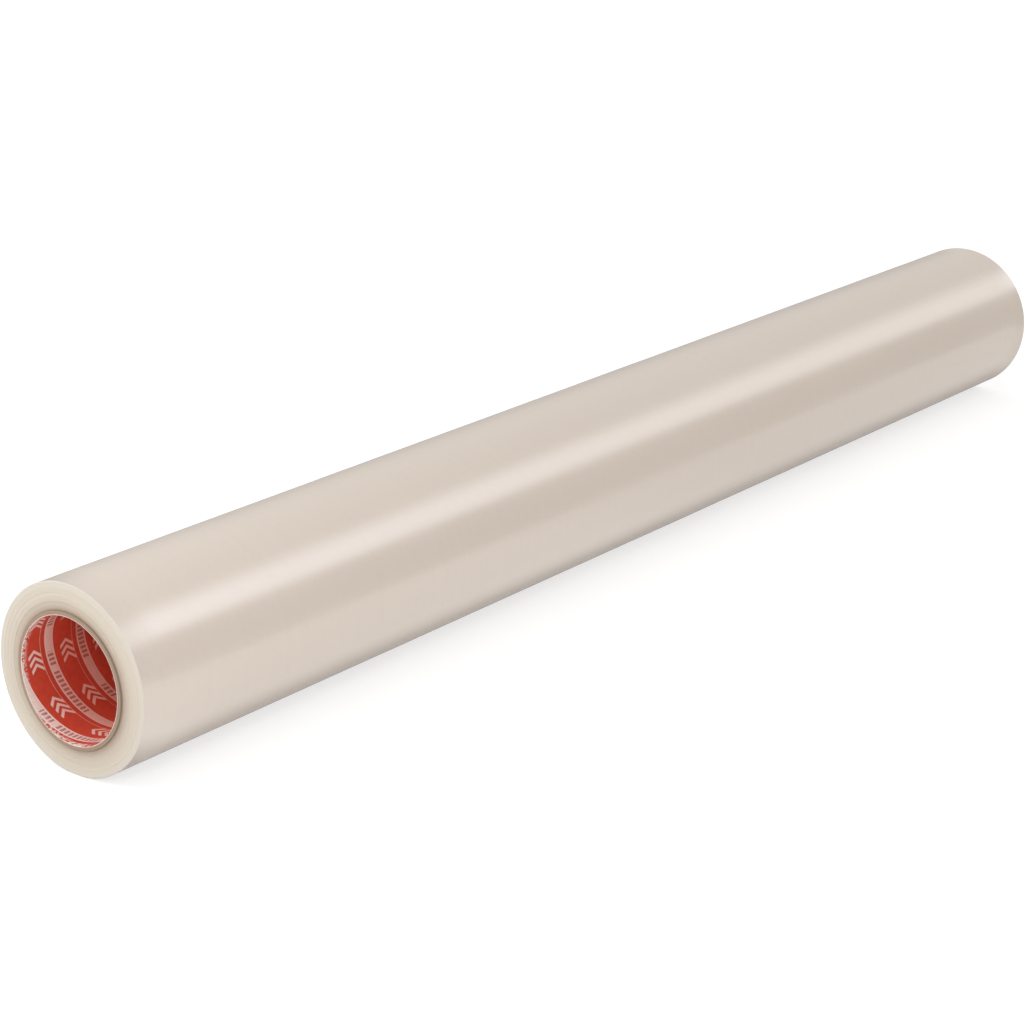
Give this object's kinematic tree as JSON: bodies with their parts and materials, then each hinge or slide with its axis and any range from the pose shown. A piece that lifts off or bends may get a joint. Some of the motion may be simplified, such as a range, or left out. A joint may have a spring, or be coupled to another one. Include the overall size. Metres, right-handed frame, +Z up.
{
  "type": "roll of protective film",
  "caption": "Long roll of clear protective film lying on its side, wound tightly on a board core whose bore has a printed paper lining.",
  "frame": {"origin": "under the middle of the roll, on the surface that it rests on", "axes": "+Y along the core from the near end to the far end, +Z up, +X to the right as seen from the near end"},
  "size_m": [0.1146, 1.003, 0.1143],
  "materials": {
    "film": "satin, clear polyethylene film that reads as cream where it is wound",
    "board": "spiral-wound grey-brown board, cut square",
    "printed_paper": "satin coated paper printed red with pale bands"
  },
  "bodies": {
    "root": {"wound_film": "film", "core_tube": "board", "core_liner": "printed_paper"}
  },
  "joints": []
}
